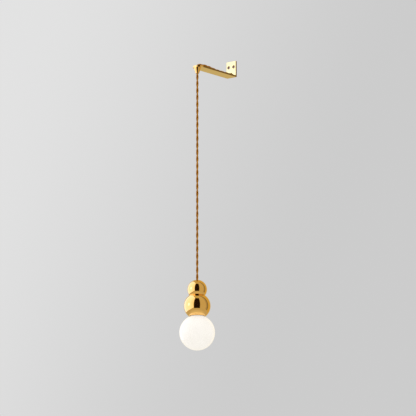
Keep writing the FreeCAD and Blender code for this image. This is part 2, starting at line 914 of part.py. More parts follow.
def terminal_screws():
    """Two cheese-head screws on top of the insert, which clamp the cores."""
    radius = size["terminal_radius"]
    screws = []
    for side in (-1, 1):
        shank = terminal_post("shank", side, radius / 2, insert_bottom, size["insert_disc"])
        head = terminal_post("head", side, radius, insert_top, size["terminal_height"])
        screws.append(fuse("terminal_screw_" + str(side + 1), [shank, head]))
    return node("terminal_screws", group("terminal_screws", screws))


def core_tails():
    """The two insulated cores, from the end of the flex to the terminals."""
    radius = size["core_radius"].number
    top = tube_bottom.number
    low = (insert_top + size["terminal_height"]).number + radius + size["fit_gap"].number
    spread = size["terminal_offset"].number
    tails = []
    for side in (-1, 1):
        start = Vector(side * radius * 1.1, flex_axis.number, top)
        corner = Vector(side * radius * 1.1, flex_axis.number, low)
        end = Vector(side * spread, flex_axis.number, low)
        tails.append(swept_tube(path_through([start, corner, end]), radius))
    item = document.addObject("Part::Feature", "core_tails")
    item.Shape = Part.Compound(tails)
    return node("core_tails", item)


# ---- lamp -------------------------------------------------------------------------------------
globe_inside = size["globe_radius"] - size["globe_wall"]
led_plate_top = globe_centre + height_on_sphere(size["globe_radius"], size["globe_neck_radius"])


def lamp_globe():
    """Opal glass globe, blown with a round neck hole."""
    shell = hollow_ball("lamp_globe", globe_centre, size["globe_radius"], globe_inside)
    hole = cylinder(
        "lamp_globe_neck", size["globe_neck_radius"], size["globe_radius"], **along_flex(globe_centre)
    )
    return node("lamp_globe", cut("lamp_globe", shell, hole))


def lamp_collar():
    """White plastic neck between the globe and the screw cap."""
    foot = size["globe_neck_radius"] + size["collar_flange"]
    top = size["cap_radius"] - size["cap_thread_depth"]
    wall = size["collar_wall"]
    spare = size["collar_flange"]  # below the globe's surface, cut off to fit it
    height = size["collar_height"] + spare
    profile = [
        (foot - wall, ZERO),
        (foot, ZERO),
        (foot, spare),
        (size["cap_radius"], height),
        (top - wall, height),
        (foot - wall, spare),
    ]
    blank = turned("lamp_collar_blank", profile, collar_bottom - spare)
    globe = sphere(
        "lamp_collar_seat",
        size["globe_radius"] + size["fit_gap"],
        rotation=Rotation(Vector(0, 0, 1), 90),  # keeps the two seams apart
        **along_flex(globe_centre),
    )
    return node("lamp_collar", cut("lamp_collar", blank, globe))


def lamp_cap():
    """Screw cap: a plain skirt and a rolled thread, drawn as rings."""
    crest = size["cap_radius"]
    root = crest - size["cap_thread_depth"]
    pitch = size["cap_thread_pitch"]
    wall = size["cap_wall"]
    profile = [(crest - size["cap_thread_depth"] - wall, ZERO), (crest, ZERO)]
    profile.append((crest, size["cap_skirt"]))
    for turn in range(THREAD_TURNS):
        start = size["cap_skirt"] + pitch * turn
        profile.append((root, start + pitch * 0.35))
        profile.append((root, start + pitch * 0.5))
        profile.append((crest, start + pitch * 0.85))
        if turn < THREAD_TURNS - 1:
            profile.append((crest, start + pitch))
    profile.append((root, cap_length))
    profile.append((root - wall, cap_length))
    return node("lamp_cap", turned("lamp_cap", profile, cap_bottom))


def lamp_cap_insulator():
    """Glass ring between the screw shell and the tip contact."""
    foot = size["cap_radius"] - size["cap_thread_depth"]
    profile = [
        (ZERO, ZERO),
        (foot, ZERO),
        (size["tip_radius"] + 1, size["insulator_height"]),
        (ZERO, size["insulator_height"]),
    ]
    return node("lamp_cap_insulator", turned("lamp_cap_insulator", profile, cap_top))


def lamp_tip():
    """Solder-topped centre contact."""
    profile = [
        (ZERO, ZERO),
        (size["tip_radius"], ZERO),
        (size["tip_radius"], size["tip_height"] / 2),
        (size["tip_radius"] / 2, size["tip_height"]),
        (ZERO, size["tip_height"]),
    ]
    bottom = lamp_top - size["tip_height"]
    return node("lamp_tip", turned("lamp_tip", profile, bottom))


def lamp_led_plate():
    """Aluminium plate across the globe's neck."""
    radius = size["globe_neck_radius"] - size["fit_gap"]
    profile = [
        (ZERO, ZERO),
        (radius, ZERO),
        (radius, size["led_plate_thickness"]),
        (ZERO, size["led_plate_thickness"]),
    ]
    bottom = led_plate_top - size["led_plate_thickness"]
    return node("lamp_led_plate", turned("lamp_led_plate", profile, bottom))


def lamp_leds():
    """A ring of LED chips under the plate."""
    chips = []
    half = size["led_size"] / 2
    for i in range(LED_COUNT):
        angle = 2 * math.pi * i / LED_COUNT
        chips.append(
            box(
                "led_" + str(i),
                size["led_size"],
                size["led_size"],
                size["led_height"],
                x=size["led_ring_radius"] * math.cos(angle) - half,
                y=flex_axis + size["led_ring_radius"] * math.sin(angle) - half,
                z=led_plate_top - size["led_plate_thickness"] - size["led_height"],
            )
        )
    return node("lamp_leds", group("lamp_leds", chips))


def lamp_driver():
    """Upright driver board on the plate, with one tall component."""
    width = size["driver_width"]
    board = box(
        "driver_board",
        width,
        size["driver_board"],
        size["driver_height"],
        x=-width / 2,
        y=flex_axis - size["driver_board"],
        z=led_plate_top,
    )
    component = box(
        "driver_component",
        width / 2,
        size["driver_part"],
        size["driver_height"] / 2,
        x=-width / 4,
        y=flex_axis,
        z=led_plate_top + size["driver_height"] / 4,
    )
    return node("lamp_driver", fuse("lamp_driver", [board, component]))


# ---- the whole light --------------------------------------------------------------------------
PIECES = (
    wall_bracket,
    plate_bush,
    gland_nipple,
    gland_cone,
    gland_insert,
    cord_on_arm,
    cord_neck,
    cord_drop,
    upper_ball,
    cord_boss,
    cord_grub_screws,
    cord_in_head,
    threaded_tube,
    lower_ball,
    tube_washer,
    tube_nut,
    holder_cap,
    holder_body,
    holder_insert,
    holder_shell,
    holder_centre_contact,
    terminal_screws,
    core_tails,
    lamp_cap,
    lamp_cap_insulator,
    lamp_tip,
    lamp_collar,
    lamp_led_plate,
    lamp_leds,
    lamp_driver,
    lamp_globe,
)
for make in PIECES:
    make()
document.recompute()

for item in document.Objects:
    if "Invalid" in item.State or "Error" in item.State:
        raise RuntimeError(item.Name + " did not recompute: " + str(item.State))
for item in nodes:
    if item.Shape.isNull() or not item.Shape.isValid():
        raise RuntimeError(item.Label + " has no valid shape")

os.makedirs("parts", exist_ok=True)
for item in nodes:
    item.Shape.exportStep(os.path.join("parts", item.Label + ".step"))
    extent = item.Shape.BoundBox
    print(
        item.Label, len(item.Shape.Solids), "solids", round(item.Shape.Volume), "mm3",
        "z", round(extent.ZMin, 2), "to", round(extent.ZMax, 2),
    )
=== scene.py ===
"""Looks for the brass pendant wall light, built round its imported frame.  Metres, +Z up."""

import math

import bmesh
import bpy
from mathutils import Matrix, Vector


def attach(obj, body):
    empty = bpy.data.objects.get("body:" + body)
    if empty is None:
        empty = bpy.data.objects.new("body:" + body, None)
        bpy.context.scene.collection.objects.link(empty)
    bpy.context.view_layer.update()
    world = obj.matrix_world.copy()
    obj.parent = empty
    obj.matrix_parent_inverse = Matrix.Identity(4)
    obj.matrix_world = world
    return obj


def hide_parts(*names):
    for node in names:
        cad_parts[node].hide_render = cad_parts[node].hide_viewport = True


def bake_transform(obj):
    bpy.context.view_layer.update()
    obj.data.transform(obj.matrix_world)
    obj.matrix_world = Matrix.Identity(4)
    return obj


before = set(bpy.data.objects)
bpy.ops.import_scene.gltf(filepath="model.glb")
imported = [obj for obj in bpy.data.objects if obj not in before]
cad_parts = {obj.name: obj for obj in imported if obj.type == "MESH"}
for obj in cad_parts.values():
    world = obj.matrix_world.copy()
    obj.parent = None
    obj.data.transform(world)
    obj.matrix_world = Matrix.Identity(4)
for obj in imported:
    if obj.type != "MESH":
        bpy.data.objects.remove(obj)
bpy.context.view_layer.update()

# ---- camera ------------------------------------------------------------------------------------
# The light is photographed from the right and from well below its bracket, through a long lens,
# so the balls and the globe are seen a little from underneath.
VIEW_YAW = math.radians(38.81)
VIEW_PITCH = math.radians(10.703)
CAMERA_PLACE = (4.402, -5.5855, -1.7603)
camera_data = bpy.data.cameras.new("camera")
camera_data.sensor_width = 36.0
camera_data.lens = 217.2
camera_data.clip_end = 60.0
camera = bpy.data.objects.new("camera", camera_data)
camera.location = CAMERA_PLACE
camera.rotation_euler = (math.pi / 2 + VIEW_PITCH, 0.0, VIEW_YAW)
bpy.context.scene.collection.objects.link(camera)
bpy.context.scene.camera = camera

# ---- flex --------------------------------------------------------------------------------------
# Two cores, each in a braided amber rayon sleeve, twisted together.  The pair leaves the wall
# through the plate, lies on the arm, turns down through the gland and hangs to the small ball.
# It is three pieces: over the arm and through the gland, hanging, and gripped inside the balls.
FLEX_AXIS_Y = -0.161
STRAND_RADIUS = 0.0020
STRAND_OFFSET = 0.0014  # from the pair's middle to each strand's; they press each other flat
STRAND_GAP = 0.00002  # between the pair's middle and each flat side
STRAND_SIDES = 24
FLEX_LAY = 0.03993  # one full turn of the twisted pair
SIDE_BY_SIDE_Z = -0.0585  # a level where the photograph shows the strands side by side
GRIP_Z = -0.6460  # the top of the small ball
TAILS_Z = -0.6991  # where the pair ends and its cores part

ARM_ROUTE = (
    (0.0, 0.0, -0.0213),
    (0.0, -0.0304, -0.0224),
    (0.0, -0.0760, -0.0224),
    (0.0, -0.0995, -0.0202),
    (0.0, -0.1230, -0.0184),
    (0.0, -0.1430, -0.0202),
    (0.0, FLEX_AXIS_Y, -0.0225),
    (0.0, -0.16105, -0.036234),
    (0.0, FLEX_AXIS_Y, -0.0443),
    (0.0, FLEX_AXIS_Y, SIDE_BY_SIDE_Z),
)
DROP_ROUTE = ((0.0, FLEX_AXIS_Y, SIDE_BY_SIDE_Z), (0.0, FLEX_AXIS_Y, GRIP_Z))
HEAD_ROUTE = ((0.0, FLEX_AXIS_Y, GRIP_Z), (0.0, FLEX_AXIS_Y, TAILS_Z))


def smooth_line(route, fineness):
    """Points along the smooth curve that has the route's points as its control points."""
    data = bpy.data.curves.new("route", "CURVE")
    data.dimensions = "3D"
    spline = data.splines.new("NURBS")
    spline.points.add(len(route) - 1)
    for point, place in zip(spline.points, route):
        point.co = (*place, 1.0)
    spline.order_u = 3
    spline.use_endpoint_u = True
    spline.resolution_u = fineness
    curve = bpy.data.objects.new("route", data)
    mesh = bpy.data.meshes.new_from_object(curve)
    line = [vertex.co.copy() for vertex in mesh.vertices]
    bpy.data.objects.remove(curve)
    bpy.data.curves.remove(data)
    bpy.data.meshes.remove(mesh)
    return line


def distances(line):
    """How far along the line each of its points is."""
    found = [0.0]
    for a, b in zip(line, line[1:]):
        found.append(found[-1] + (b - a).length)
    return found


def twisted_pair(line, start_angle):
    """Two strands wound round a line that lies in the plane X = 0, as one mesh.

    Each is round but flat where it presses on the other.  The map "braid" runs once round each
    strand, from its outermost side, and along it in metres.
    """
    bm = bmesh.new()
    braid = bm.loops.layers.uv.new("braid")
    along = distances(line)
    last = len(line) - 1
    side = Vector((1.0, 0.0, 0.0))
    for strand in range(2):
        outward = []
        for i in range(last + 1):
            ahead = (line[min(i + 1, last)] - line[max(i - 1, 0)]).normalized()
            angle = start_angle + math.tau * along[i] / FLEX_LAY + math.pi * strand
            outward.append(side * math.cos(angle) + ahead.cross(side) * math.sin(angle))
        centres = [point + out * STRAND_OFFSET for point, out in zip(line, outward)]
        rings = []
        for i, centre in enumerate(centres):
            ahead = (centres[min(i + 1, last)] - centres[max(i - 1, 0)]).normalized()
            first = (outward[i] - ahead * outward[i].dot(ahead)).normalized()
            second = ahead.cross(first)
            ring = []
            for k in range(STRAND_SIDES):
                a = math.tau * k / STRAND_SIDES
                outwards = max(STRAND_RADIUS * math.cos(a), STRAND_GAP - STRAND_OFFSET)
                place = centre + first * outwards + second * STRAND_RADIUS * math.sin(a)
                ring.append(bm.verts.new(place))
            rings.append(ring)
        for i in range(last):
            for k in range(STRAND_SIDES):
                n = (k + 1) % STRAND_SIDES
                face = bm.faces.new((rings[i][k], rings[i][n], rings[i + 1][n], rings[i + 1][k]))
                face.smooth = True
                near, far = along[i], along[i + 1]
                left, right = k / STRAND_SIDES, (k + 1) / STRAND_SIDES
                places = ((left, near), (right, near), (right, far), (left, far))
                for loop, place in zip(face.loops, places):
                    loop[braid].uv = place
        bm.faces.new(rings[0][::-1])
        bm.faces.new(rings[-1])
    mesh = bpy.data.meshes.new("strands")
    bm.to_mesh(mesh)
    bm.free()
    return mesh


def new_piece(name, mesh, material):
    """A finished object in the scene, with its material and its material slot's name."""
    mesh.name = name
    mesh.materials.append(material)
    piece = bpy.data.objects.new(name, mesh)
    bpy.context.scene.collection.objects.link(piece)
    return piece


def feed(tree, socket, value):
    """Joins another node's output to a socket, or sets the socket to a plain value."""
    if isinstance(value, bpy.types.NodeSocket):
        tree.links.new(value, socket)
    else:
        socket.default_value = value


def node_adder(tree):
    """A short way to add nodes to a tree, with what feeds their inputs and with settings."""

    def add(kind, inputs=None, **settings):
        made = tree.nodes.new(kind)
        for key, value in settings.items():
            setattr(made, key, value)
        for key, value in (inputs or {}).items():
            feed(tree, made.inputs[key], value)
        return made

    return add


def start_material(name):
    """A new material, with a way to add nodes to it and one to feed its shader's sockets."""
    material = bpy.data.materials.new(name)
    material.use_nodes = True
    tree = material.node_tree
    shader = next(node for node in tree.nodes if node.type == "BSDF_PRINCIPLED")

    def give(socket, value):
        feed(tree, shader.inputs[socket], value)

    return material, node_adder(tree), give


def sums(add, operation, *values):
    """One step of arithmetic on nodes' outputs or numbers."""
    return add("ShaderNodeMath", dict(enumerate(values)), operation=operation).outputs[0]


def ranged(add, value, start, end, low=0.0, high=1.0, change="LINEAR"):
    """A number that goes from low to high while the value goes from start to end."""
    limits = {"Value": value, "From Min": start, "From Max": end, "To Min": low, "To Max": high}
    return add("ShaderNodeMapRange", limits, interpolation_type=change).outputs["Result"]


def spot_on_piece(add):
    """Where on its piece a point lies, in metres."""
    return add("ShaderNodeTexCoord").outputs["Object"]


def mottle(add, closeness, detail=2.0):
    """Cloudy noise that stays on the piece.

    closeness is its blotches to the metre, or three such numbers where an axis draws them out.
    """
    spot = spot_on_piece(add)
    if isinstance(closeness, tuple):
        spot = add("ShaderNodeMapping", {"Vector": spot, "Scale": closeness}).outputs["Vector"]
        closeness = 1.0
    noise = add("ShaderNodeTexNoise", {"Vector": spot, "Scale": closeness, "Detail": detail})
    return noise.outputs["Fac"]


def shades(add, amount, stops):
    """Colours between (place, colour) stops, picked by an amount from 0 to 1."""
    made = add("ShaderNodeValToRGB", {"Fac": amount})
    elements = made.color_ramp.elements
    while len(elements) < len(stops):
        elements.new(0.5)
    for element, (place, colour) in zip(elements, stops):
        element.position = place
        element.color = (*colour, 1.0)
    return made.outputs["Color"]


def relief(add, give, height, depth):
    """A raised and sunk surface, from a height between 0 and 1."""
    bump = add("ShaderNodeBump", {"Height": height, "Strength": 1.0, "Distance": depth})
    give("Normal", bump.outputs["Normal"])


def amber_rayon():
    """Shiny amber yarns, plaited over and under, with painted shade between the yarns and down in
    the groove of the pair.
    """
    material, add, give = start_material("amber_rayon")
    yarns_round = 12
    yarn_length = 0.0011
    groove_lip, groove_floor = 0.31, 0.15  # parts of a turn from the strand's flat side
    blotch_share, yarn_shade_share, groove_shade_share = 0.5, 0.7, -0.42  # of what makes the tone
    fibre_share = 0.3  # in the relief, where a yarn counts as 1
    braid = add("ShaderNodeUVMap", uv_map="braid").outputs["UV"]
    parts = add("ShaderNodeSeparateXYZ", {"Vector": braid}).outputs
    around = sums(add, "MULTIPLY", parts["X"], math.pi * yarns_round)
    along = sums(add, "MULTIPLY", parts["Y"], math.pi / yarn_length)
    one_way = sums(add, "SINE", sums(add, "ADD", along, around))
    other_way = sums(add, "SINE", sums(add, "SUBTRACT", along, around))
    crossing = {
        "Factor": sums(add, "GREATER_THAN", sums(add, "MULTIPLY", one_way, other_way), 0.0),
        "A": sums(add, "ABSOLUTE", other_way),
        "B": sums(add, "ABSOLUTE", one_way),
    }
    yarn = add("ShaderNodeMix", crossing).outputs["Result"]
    blotch = mottle(add, 210.0, 4.0)
    # painted shade: the tone darkens between the yarns' crowns, where they dip under each other
    yarn_shade = sums(add, "MULTIPLY", yarn, yarn_shade_share)
    tone = sums(add, "MULTIPLY_ADD", blotch, blotch_share, yarn_shade)
    # painted shade: the tone darkens towards each strand's flat side, down in the groove of the
    # pair
    from_flat_side = sums(add, "ABSOLUTE", sums(add, "SUBTRACT", parts["X"], 0.5))
    shaded = ranged(add, from_flat_side, groove_lip, groove_floor, change="SMOOTHSTEP")
    tone = sums(add, "MULTIPLY_ADD", shaded, groove_shade_share, tone)
    stops = [
        (0.20, (0.11, 0.020, 0.0002)),
        (0.64, (0.36, 0.118, 0.0015)),
        (0.97, (0.72, 0.340, 0.016)),
    ]
    give("Base Color", shades(add, tone, stops))
    give("Roughness", 0.4)
    give("Specular IOR Level", 0.12)
    give("Specular Tint", (1.0, 0.55, 0.10, 1.0))
    fibre = mottle(add, 4200.0)
    relief(add, give, sums(add, "MULTIPLY_ADD", fibre, fibre_share, yarn), 0.00012)
    return material


rayon = amber_rayon()
hanging_line = smooth_line(DROP_ROUTE, fineness=640)
hanging_strands = twisted_pair(hanging_line, -VIEW_YAW)
flex_hanging = new_piece("flex_hanging", hanging_strands, rayon)
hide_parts("cord_neck", "cord_drop")
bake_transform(flex_hanging)

arm_line = smooth_line(ARM_ROUTE, fineness=40)
arm_angle = -VIEW_YAW - math.tau * distances(arm_line)[-1] / FLEX_LAY
arm_strands = twisted_pair(arm_line, arm_angle)
flex_on_arm = new_piece("flex_on_arm", arm_strands, rayon)
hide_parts("cord_on_arm")
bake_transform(flex_on_arm)

head_line = smooth_line(HEAD_ROUTE, fineness=60)
head_angle = -VIEW_YAW + math.tau * distances(hanging_line)[-1] / FLEX_LAY
head_strands = twisted_pair(head_line, head_angle)
flex_in_head = new_piece("flex_in_head", head_strands, rayon)
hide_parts("cord_in_head")
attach(flex_in_head, "head")

# ---- wall bracket ------------------------------------------------------------------------------
# Flat brass bar, folded once, polished to a mirror and lacquered.  Two screws hold its plate to
# the wall.  Painted shade, dark brown and dull, fills a ring round and inside each screw hole
# and stands for the shadow in the holes.
SCREW_HOLE_X = 0.009
SCREW_HOLE_RADIUS = 0.0032
HOLE_SHADE_WIDTH = 0.0022
HOLE_SHADE_EDGE = SCREW_HOLE_RADIUS + HOLE_SHADE_WIDTH
FULL_HOLE_SHADE_EDGE = SCREW_HOLE_RADIUS + 0.7 * HOLE_SHADE_WIDTH


def mirror_brass(name, lines, shaded_holes=False):
    """Lacquered mirror brass: its tone drifts a little, and fine polishing lines dull it.

    lines is how closely the polishing lines lie along X, Y and Z.  The last argument adds painted
    shade, dark and dull, round and inside the plate's two screw holes.
    """
    material, add, give = start_material(name)
    stops = [(0.3, (0.90, 0.525, 0.150)), (0.7, (0.97, 0.60, 0.180))]
    tone = shades(add, mottle(add, 26.0, 3.0), stops)
    hairs = mottle(add, lines, 3.0)
    hair_share = 0.4
    worn = sums(add, "MULTIPLY_ADD", hairs, hair_share, mottle(add, 70.0, 5.0))
    dull = ranged(add, worn, 0.45, 0.95, 0.02, 0.085)
    # painted shade: dark brown, dull brass round and inside each screw hole, standing for the
    # holes' shadow
    if shaded_holes:
        parts = add("ShaderNodeSeparateXYZ", {"Vector": spot_on_piece(add)}).outputs
        sideways = sums(add, "SUBTRACT", sums(add, "ABSOLUTE", parts["X"]), SCREW_HOLE_X)
        squares = [sums(add, "MULTIPLY", value, value) for value in (sideways, parts["Z"])]
        from_hole = sums(add, "SQRT", sums(add, "ADD", *squares))
        hole_shade = ranged(add, from_hole, HOLE_SHADE_EDGE, FULL_HOLE_SHADE_EDGE)
        hole_shade_mix = {"Factor": hole_shade, "A": tone, "B": (0.27, 0.085, 0.002, 1.0)}
        tone = add("ShaderNodeMix", hole_shade_mix, data_type="RGBA").outputs["Result"]
        hole_shade_dullness = 0.45
        dull = sums(add, "MULTIPLY_ADD", hole_shade, hole_shade_dullness, dull)
    give("Base Color", tone)
    give("Roughness", dull)
    give("Metallic", 1.0)
    give("Coat Weight", 0.8)
    give("Coat Roughness", 0.03)
    relief(add, give, hairs, 0.0000015)
    return material


def finish_nodes(material, *names):
    """Gives CAD nodes their material."""
    for name in names:
        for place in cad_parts[name].material_slots:
            place.material = material


finish_nodes(mirror_brass("bar_brass", (90.0, 900.0, 900.0), shaded_holes=True), "wall_bracket")

# ---- plate bush --------------------------------------------------------------------------------
# Thin moulded black sleeve, pressed into the plate's third hole.  It keeps the hole's edge from
# cutting the flex.


def moulded_plastic(name, dark, light, roughness, grain):
    """Moulded plastic or rubber: mottled a little, with a fine even grain."""
    material, add, give = start_material(name)
    give("Base Color", shades(add, mottle(add, 140.0, 4.0), [(0.35, dark), (0.7, light)]))
    pores = mottle(add, 2600.0)
    give("Roughness", ranged(add, pores, 0.0, 1.0, roughness - 0.06, roughness + 0.08))
    relief(add, give, pores, grain)
    return material


sleeve_black = moulded_plastic(
    "sleeve_black", (0.012, 0.012, 0.012), (0.026, 0.025, 0.024), 0.45, 0.00002
)
finish_nodes(sleeve_black, "plate_bush")

# ---- gland -------------------------------------------------------------------------------------
# Turned brass cone under the arm's end, screwed on a flanged nipple that is sunk in the arm.
# Between them they squeeze a grey silicone wedge on to the flex.
turned_brass = mirror_brass("turned_brass", (150.0, 150.0, 5200.0))
finish_nodes(turned_brass, "gland_cone", "gland_nipple")
wedge_grey = moulded_plastic("wedge_grey", (0.07, 0.07, 0.07), (0.10, 0.10, 0.098), 0.6, 0.00002)
finish_nodes(wedge_grey, "gland_insert")

# ---- upper ball --------------------------------------------------------------------------------
# Small ball, spun from brass sheet in one piece.  Its open bottom is cut to sit on the larger
# ball, and the flex goes in through a small hole at the top.
BALL_WALL = 0.0012
UPPER_BALL_Z = -0.6735
UPPER_BALL_RADIUS = 0.0275
LOWER_BALL_Z = -0.7205
LOWER_BALL_RADIUS = 0.0375
FLEX_HOLE_RADIUS = 0.0038
SEAT_GAP = 0.00005  # between the large ball and the small ball's cut edge
SEAT_RADIUS = LOWER_BALL_RADIUS + SEAT_GAP
SHARP_EDGE = math.radians(30)
ON_THE_AXIS = 1e-7  # a profile point nearer than this closes the shape


def arc(centre_z, radius, start, end, steps):
    """(radius, height) points of a ball's profile, between two angles above level."""
    points = []
    for i in range(steps + 1):
        angle = start + (end - start) * i / steps
        points.append((radius * math.cos(angle), centre_z + radius * math.sin(angle)))
    return points


def hollow_ball(centre_z, radius, wall, top_hole, bottom_angle, steps):
    """The profile of a ball's wall: down its outside from the hole in its top, and up inside.

    bottom_angle tells at what angle above level a surface of a given radius ends.
    """
    outside = arc(centre_z, radius, math.acos(top_hole / radius), bottom_angle(radius), steps)
    radius -= wall
    return outside + arc(
        centre_z, radius, bottom_angle(radius), math.acos(top_hole / radius), steps
    )


def lathe(profile, sides):
    """A closed (radius, height) profile turned round the flex's axis, with smooth faces."""
    bm = bmesh.new()
    rings = []
    for radius, height in profile:
        if radius < ON_THE_AXIS:
            rings.append([bm.verts.new((0.0, FLEX_AXIS_Y, height))])
            continue
        ring = []
        for k in range(sides):
            a = math.tau * k / sides
            place = (radius * math.cos(a), FLEX_AXIS_Y + radius * math.sin(a), height)
            ring.append(bm.verts.new(place))
        rings.append(ring)
    for ring, following in zip(rings, rings[1:] + rings[:1]):
        for k in range(sides):
            n = (k + 1) % sides
            corners = [ring[k % len(ring)], ring[n % len(ring)]]
            corners += [following[n % len(following)], following[k % len(following)]]
            corners = list(dict.fromkeys(corners))
            if len(corners) > 2:
                bm.faces.new(corners).smooth = True
    bmesh.ops.recalc_face_normals(bm, faces=bm.faces)
    mesh = bpy.data.meshes.new("turned")
    bm.to_mesh(mesh)
    bm.free()
    mesh.set_sharp_from_angle(angle=SHARP_EDGE)
    return mesh


def seat_angle(radius):
    """Where a surface of this radius, on the small ball's centre, meets the large ball."""
    apart = UPPER_BALL_Z - LOWER_BALL_Z
    drop = (apart**2 + radius**2 - SEAT_RADIUS**2) / (2 * apart)
    return -math.asin(drop / radius)


spun_brass = mirror_brass("spun_brass", (25.0, 25.0, 3600.0))
small_profile = hollow_ball(
    UPPER_BALL_Z, UPPER_BALL_RADIUS, BALL_WALL, FLEX_HOLE_RADIUS, seat_angle, steps=90
)
small_ball = new_piece(
    "small_ball", lathe(small_profile, sides=160), spun_brass
)
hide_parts("upper_ball")
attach(small_ball, "head")

# ---- lower ball --------------------------------------------------------------------------------
# Large spun brass ball, held up against the small one by the nut inside.  Its mouth has a plain
# rim, trimmed flat on the lathe, and the lamp's neck goes up into it.
MOUTH_RADIUS = 0.0240
TUBE_HOLE_RADIUS = 0.0051
RIM_BELOW_CENTRE = math.sqrt(LOWER_BALL_RADIUS**2 - MOUTH_RADIUS**2)


def rim_angle(radius):
    """Where a surface of this radius, on the large ball's centre, meets the flat rim."""
    return -math.asin(RIM_BELOW_CENTRE / radius)


large_profile = hollow_ball(
    LOWER_BALL_Z, LOWER_BALL_RADIUS, BALL_WALL, TUBE_HOLE_RADIUS, rim_angle, steps=120
)
large_ball = new_piece(
    "large_ball", lathe(large_profile, sides=192), spun_brass
)
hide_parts("lower_ball")
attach(large_ball, "head")

# ---- ties inside the balls ---------------------------------------------------------------------
# A brass boss soldered in the small ball grips the flex with two grub screws.  A threaded tube
# joins it to the lampholder, and a domed washer and a nut pull the large ball up.
finish_nodes(mirror_brass("plain_brass", (400.0, 400.0, 4200.0)), "cord_boss", "tube_washer")


def zinc_steel():
    """Zinc-plated steel: blue-grey, spangled, with turning lines."""
    material, add, give = start_material("zinc_steel")
    spangle = add("ShaderNodeTexVoronoi", {"Vector": spot_on_piece(add), "Scale": 900.0})
    stops = [(0.1, (0.46, 0.47, 0.50)), (0.8, (0.58, 0.58, 0.58))]
    give("Base Color", shades(add, spangle.outputs["Distance"], stops))
    turning = mottle(add, (300.0, 300.0, 6000.0))
    give("Roughness", ranged(add, turning, 0.0, 1.0, 0.22, 0.42))
    give("Metallic", 1.0)
    relief(add, give, turning, 0.00001)
    return material


finish_nodes(zinc_steel(), "cord_grub_screws", "threaded_tube", "tube_nut", "terminal_screws")

# ---- lampholder --------------------------------------------------------------------------------
# Moulded black dome and skirt, screwed together round a glazed ceramic insert.  The insert holds
# the pressed brass screw shell, the contact strip and the two terminals.
holder_black = moulded_plastic(
    "holder_black", (0.010, 0.009, 0.009), (0.022, 0.020, 0.019), 0.22, 0.000006
)
finish_nodes(holder_black, "holder_cap", "holder_body")


def glazed_ceramic():
    """White glazed ceramic: a little cream, speckled, glossy, with a slow ripple."""
    material, add, give = start_material("glazed_ceramic")
    stops = [(0.26, (0.42, 0.37, 0.30)), (0.34, (0.80, 0.78, 0.72)), (0.8, (0.86, 0.84, 0.79))]
    give("Base Color", shades(add, mottle(add, 1500.0, 3.0), stops))
    give("Roughness", 0.12)
    relief(add, give, mottle(add, 110.0), 0.00008)
    return material


finish_nodes(glazed_ceramic(), "holder_insert")


def bare_metal(name, dull_tone, bright_tone, patches):
    """Bare or plated pressed metal, bright where it is rubbed and dull in patches."""
    material, add, give = start_material(name)
    rubbed = mottle(add, patches, 5.0)
    give("Base Color", shades(add, rubbed, [(0.35, dull_tone), (0.62, bright_tone)]))
    give("Roughness", ranged(add, rubbed, 0.0, 1.0, 0.45, 0.14))
    give("Metallic", 1.0)
    relief(add, give, rubbed, 0.00001)
    return material


pressed_brass = bare_metal("pressed_brass", (0.40, 0.23, 0.07), (0.68, 0.43, 0.15), 160.0)
finish_nodes(pressed_brass, "holder_shell", "holder_centre_contact")
core_white = moulded_plastic("core_white", (0.52, 0.50, 0.44), (0.62, 0.60, 0.54), 0.4, 0.00001)
finish_nodes(core_white, "core_tails")

# ---- lamp cap ----------------------------------------------------------------------------------
# Nickel-plated screw cap with a rolled thread, a dark glass insulator and a soldered tip.
# A moulded white collar joins the cap to the globe.
nickel_plate = bare_metal("nickel_plate", (0.50, 0.47, 0.42), (0.66, 0.64, 0.60), 320.0)
finish_nodes(nickel_plate, "lamp_cap", "lamp_tip")


def pressed_dark_glass():
    """Nearly black pressed glass, with a purple cast and shallow press marks."""
    material, add, give = start_material("pressed_dark_glass")
    swirl = mottle(add, 240.0, 3.0)
    stops = [(0.3, (0.010, 0.006, 0.012)), (0.7, (0.035, 0.020, 0.040))]
    give("Base Color", shades(add, swirl, stops))
    give("Roughness", 0.06)
    relief(add, give, swirl, 0.00006)
    return material


finish_nodes(pressed_dark_glass(), "lamp_cap_insulator")
collar_white = moulded_plastic(
    "collar_white", (0.80, 0.79, 0.76), (0.86, 0.85, 0.82), 0.38, 0.000008
)
finish_nodes(collar_white, "lamp_collar")

# ---- lamp works --------------------------------------------------------------------------------
# Inside the lamp, a brushed aluminium plate across the globe's neck carries yellow chips below
# and the driver board above.


def sheet_aluminium():
    """Rolled aluminium sheet, brushed along X."""
    material, add, give = start_material("sheet_aluminium")
    rolled = mottle(add, (120.0, 5200.0, 5200.0))
    stops = [(0.3, (0.62, 0.62, 0.63)), (0.7, (0.78, 0.78, 0.79))]
    give("Base Color", shades(add, rolled, stops))
    give("Metallic", 1.0)
    give("Roughness", 0.34)
    relief(add, give, rolled, 0.00001)
    return material


finish_nodes(sheet_aluminium(), "lamp_led_plate")


def chip_phosphor():
    """Yellow phosphor under clear resin, lit."""
    material, add, give = start_material("chip_phosphor")
    powder = mottle(add, 3800.0)
    stops = [(0.3, (0.72, 0.46, 0.05)), (0.7, (0.90, 0.66, 0.14))]
    give("Base Color", shades(add, powder, stops))
    give("Roughness", 0.3)
    give("Emission Color", (1.0, 0.86, 0.62, 1.0))
    give("Emission Strength", 1.5)
    relief(add, give, powder, 0.00001)
    return material


finish_nodes(chip_phosphor(), "lamp_leds")


def circuit_board():
    """Green masked board with paler copper runs under the mask."""
    material, add, give = start_material("circuit_board")
    cells = {"Vector": spot_on_piece(add), "Scale": 420.0}
    runs = add("ShaderNodeTexVoronoi", cells, feature="DISTANCE_TO_EDGE").outputs["Distance"]
    stops = [(0.03, (0.030, 0.17, 0.065)), (0.10, (0.012, 0.085, 0.034))]
    give("Base Color", shades(add, runs, stops))
    give("Roughness", 0.3)
    relief(add, give, runs, 0.00004)
    return material


